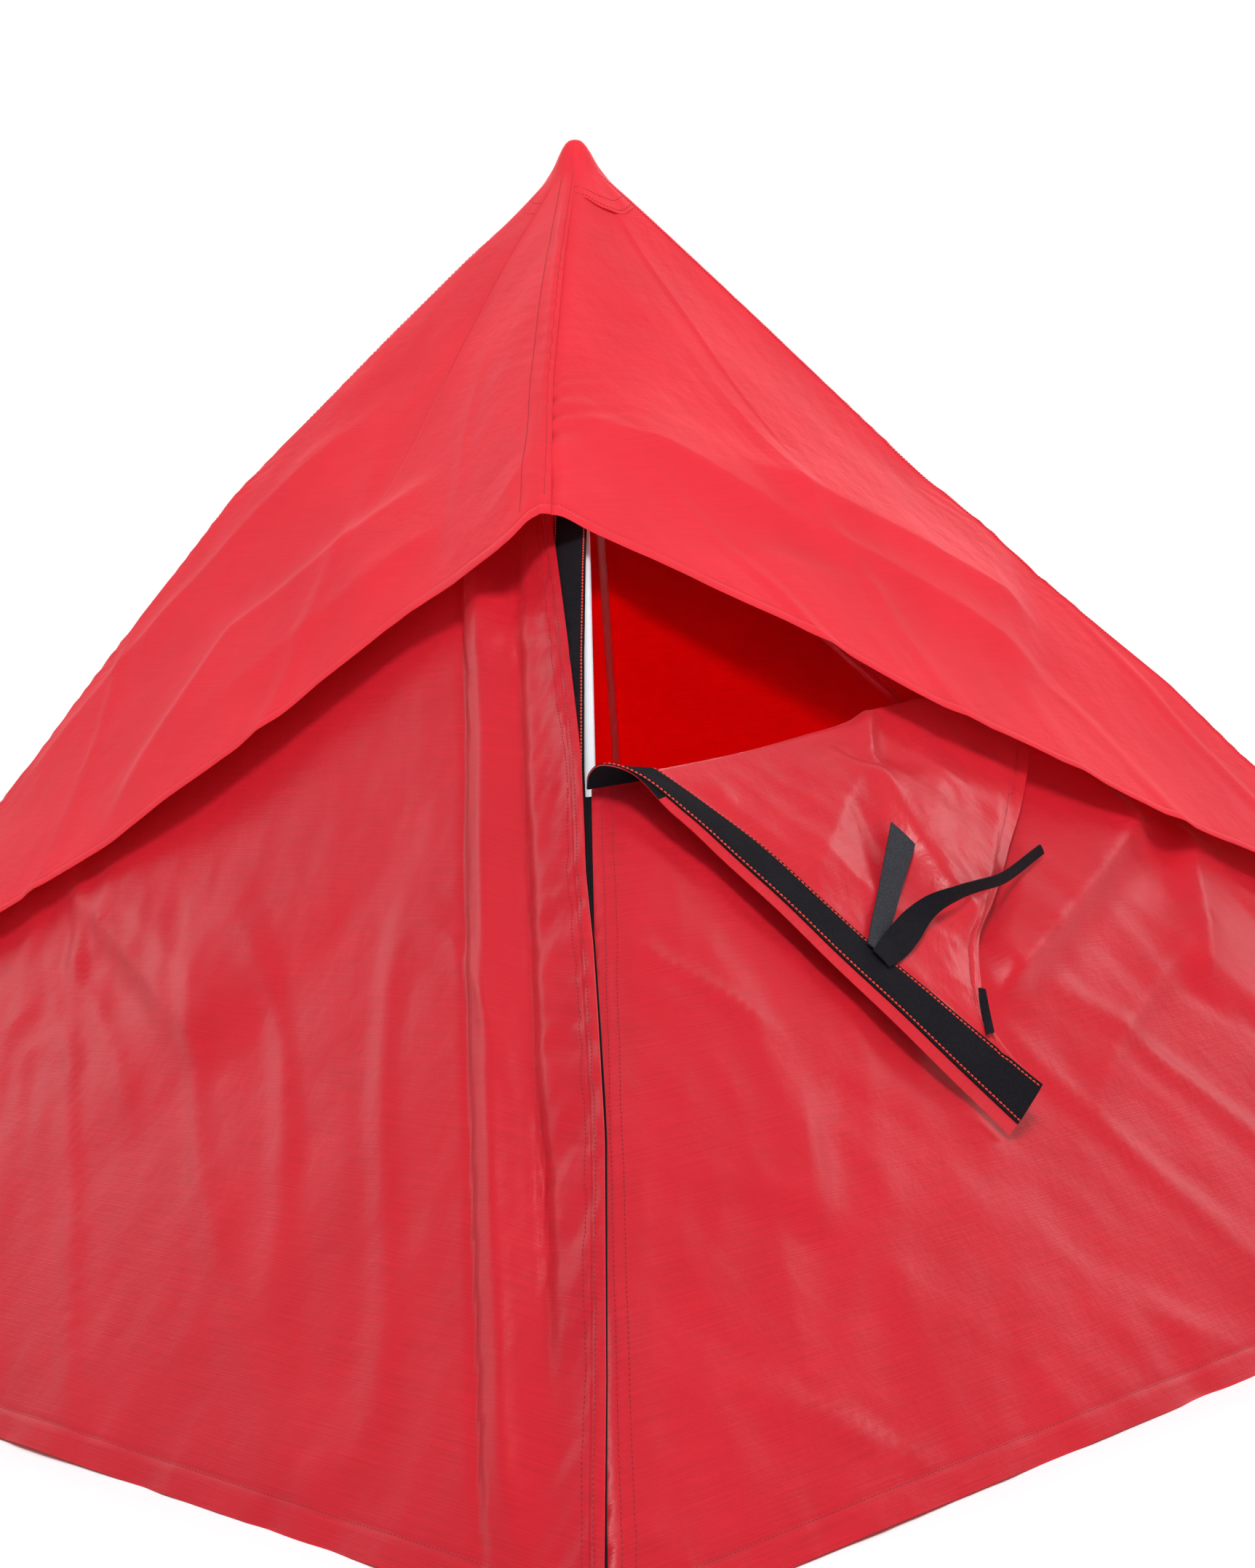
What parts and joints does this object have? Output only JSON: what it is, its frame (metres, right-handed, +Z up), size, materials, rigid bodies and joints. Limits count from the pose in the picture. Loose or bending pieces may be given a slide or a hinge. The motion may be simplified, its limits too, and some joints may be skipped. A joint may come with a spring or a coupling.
{
  "type": "ice fishing shelter",
  "caption": "Square pyramid pop-up ice fishing tent on a folding telescopic umbrella frame, with an outer canopy, a corner door seam and a fold-down window flap.",
  "frame": {"origin": "centre of the footprint, on the ground", "axes": "+Z up, -Y towards the front corner with the door seam, +X towards the right corner; the base corners lie on the X and Y axes"},
  "size_m": [2.3778, 2.3778, 1.15],
  "materials": {
    "wall_cloth": "coated taffeta, satin",
    "canopy_cloth": "plain weave, matte",
    "flap_cloth": "coated taffeta, satin",
    "white_steel": "satin powder coat",
    "black_plastic": "matte",
    "bright_steel": "plated",
    "grey_loop": "loop pile",
    "webbing": "woven",
    "black_hook": "hook-and-loop pile"
  },
  "bodies": {
    "crown": {"crown_hub": "black_plastic", "hub_pins": "bright_steel", "apex_patch": "canopy_cloth"},
    "rib_front": {"upper_rib_front": "white_steel", "rib_plug_front": "black_plastic", "rib_collar_front": "black_plastic", "wall_front_left_upper": "wall_cloth", "wall_front_right_upper": "wall_cloth", "fly_front": "canopy_cloth", "door_tape_left_upper": "black_hook"},
    "leg_front": {"lower_rib_front": "white_steel", "foot_front": "black_plastic", "corner_tab_front": "webbing", "eyelet_front": "bright_steel", "wall_front_left_lower": "wall_cloth", "door_panel": "wall_cloth", "door_tape_left_lower": "black_hook", "door_tape_right": "black_hook"},
    "rib_back": {"upper_rib_back": "white_steel", "rib_plug_back": "black_plastic", "rib_collar_back": "black_plastic", "wall_back_upper": "wall_cloth", "fly_back": "canopy_cloth"},
    "leg_back": {"lower_rib_back": "white_steel", "foot_back": "black_plastic", "corner_tab_back": "webbing", "eyelet_back": "bright_steel", "wall_back_lower": "wall_cloth"},
    "rib_left": {"upper_rib_left": "white_steel", "rib_plug_left": "black_plastic", "rib_collar_left": "black_plastic", "wall_left_upper": "wall_cloth", "fly_left": "canopy_cloth"},
    "leg_left": {"lower_rib_left": "white_steel", "foot_left": "black_plastic", "corner_tab_left": "webbing", "eyelet_left": "bright_steel", "wall_left_lower": "wall_cloth"},
    "rib_right": {"upper_rib_right": "white_steel", "rib_plug_right": "black_plastic", "rib_collar_right": "black_plastic", "wall_right_upper": "wall_cloth", "fly_right": "canopy_cloth"},
    "leg_right": {"lower_rib_right": "white_steel", "foot_right": "black_plastic", "corner_tab_right": "webbing", "eyelet_right": "bright_steel", "wall_right_lower": "wall_cloth"},
    "flap": {"window_flap": "flap_cloth", "flap_tape": "black_hook", "flap_strap_grey": "grey_loop", "flap_strap_black": "black_hook", "flap_tie": "black_hook"}
  },
  "joints": [
    {"name": "rib_front_fold", "type": "hinge", "parent": "crown", "child": "rib_front", "pos_m": [0, -0.045, 1.04377], "axis": [1, 0, 0], "range_deg": [0, 43], "deforming": ["wall_front_left_upper", "wall_front_right_upper", "fly_front", "door_tape_left_upper", "wall_back_upper", "fly_back", "wall_left_upper", "fly_left", "wall_right_upper", "fly_right", "wall_front_left_lower", "door_panel", "door_tape_left_lower", "door_tape_right", "wall_back_lower", "wall_left_lower", "wall_right_lower", "window_flap", "flap_tape", "flap_strap_grey", "flap_strap_black", "flap_tie"]},
    {"name": "rib_back_fold", "type": "hinge", "parent": "crown", "child": "rib_back", "pos_m": [0, 0.045, 1.04377], "axis": [-1, 0, 0], "range_deg": [0, 43]},
    {"name": "rib_left_fold", "type": "hinge", "parent": "crown", "child": "rib_left", "pos_m": [-0.045, 0, 1.04377], "axis": [0, -1, 0], "range_deg": [0, 43]},
    {"name": "rib_right_fold", "type": "hinge", "parent": "crown", "child": "rib_right", "pos_m": [0.045, 0, 1.04377], "axis": [0, 1, 0], "range_deg": [0, 43]},
    {"name": "leg_front_slide", "type": "slide", "parent": "rib_front", "child": "leg_front", "axis": [0, 0.7107, 0.7035], "range_m": [0, 0.555]},
    {"name": "leg_back_slide", "type": "slide", "parent": "rib_back", "child": "leg_back", "axis": [0, -0.7107, 0.7035], "range_m": [0, 0.555]},
    {"name": "leg_left_slide", "type": "slide", "parent": "rib_left", "child": "leg_left", "axis": [0.7107, 0, 0.7035], "range_m": [0, 0.555]},
    {"name": "leg_right_slide", "type": "slide", "parent": "rib_right", "child": "leg_right", "axis": [-0.7107, 0, 0.7035], "range_m": [0, 0.555]},
    {"name": "window_flap_lift", "type": "hinge", "parent": "leg_front", "child": "flap", "pos_m": [0.02245, -0.62349, 0.48847], "axis": [-0.6676, -0.741, -0.0726], "range_deg": [0, 130]}
  ],
  "couplings": [
    {"joint": "rib_back_fold", "follows": "rib_front_fold", "ratio": 1},
    {"joint": "rib_left_fold", "follows": "rib_front_fold", "ratio": 1},
    {"joint": "rib_right_fold", "follows": "rib_front_fold", "ratio": 1},
    {"joint": "leg_front_slide", "follows": "rib_front_fold", "m_per_rad": 0.7394},
    {"joint": "leg_back_slide", "follows": "rib_front_fold", "m_per_rad": 0.7394},
    {"joint": "leg_left_slide", "follows": "rib_front_fold", "m_per_rad": 0.7394},
    {"joint": "leg_right_slide", "follows": "rib_front_fold", "m_per_rad": 0.7394}
  ]
}
